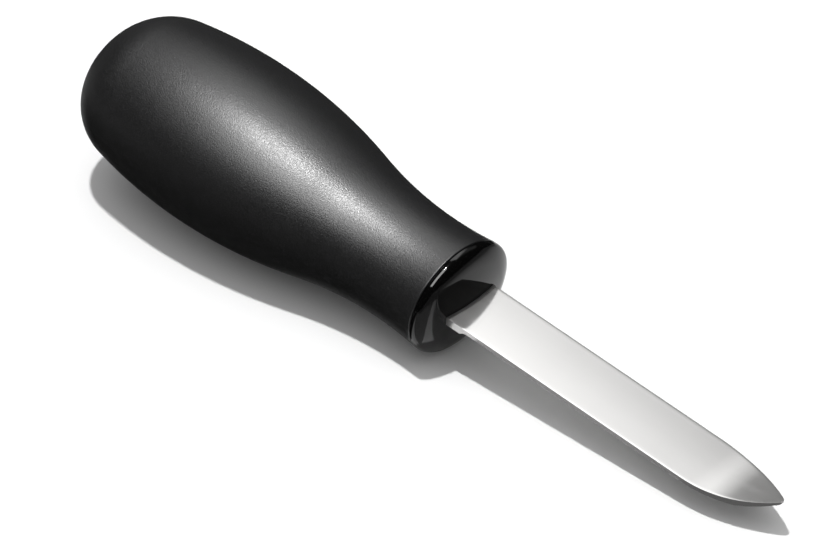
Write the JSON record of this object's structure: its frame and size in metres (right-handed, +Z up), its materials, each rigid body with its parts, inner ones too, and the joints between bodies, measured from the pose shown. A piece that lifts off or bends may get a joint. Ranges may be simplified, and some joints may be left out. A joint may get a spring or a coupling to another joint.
{
  "type": "oyster knife",
  "caption": "Short stiff oyster knife: flat steel blade with an upturned rounded point, domed glossy nose collar and a pear-shaped oval soft grip over a hard core.",
  "frame": {"origin": "bottom centre of the knife's bounding box, on the surface that the knife lies on", "axes": "+X towards the blade's point, +Y across the blade, +Z up; the knife lies nose-down on its bulb and collar as it does on a table"},
  "size_m": [0.1744, 0.0384, 0.0349],
  "materials": {
    "steel": "stainless steel polished to a bright satin",
    "gloss_collar": "glossy black hard plastic",
    "core_plastic": "plain moulded black plastic",
    "soft_rubber": "matt black soft rubber with a very fine grain"
  },
  "bodies": {
    "root": {"blade": "steel", "nose_collar": "gloss_collar", "handle_core": "core_plastic", "soft_grip": "soft_rubber"}
  },
  "joints": []
}
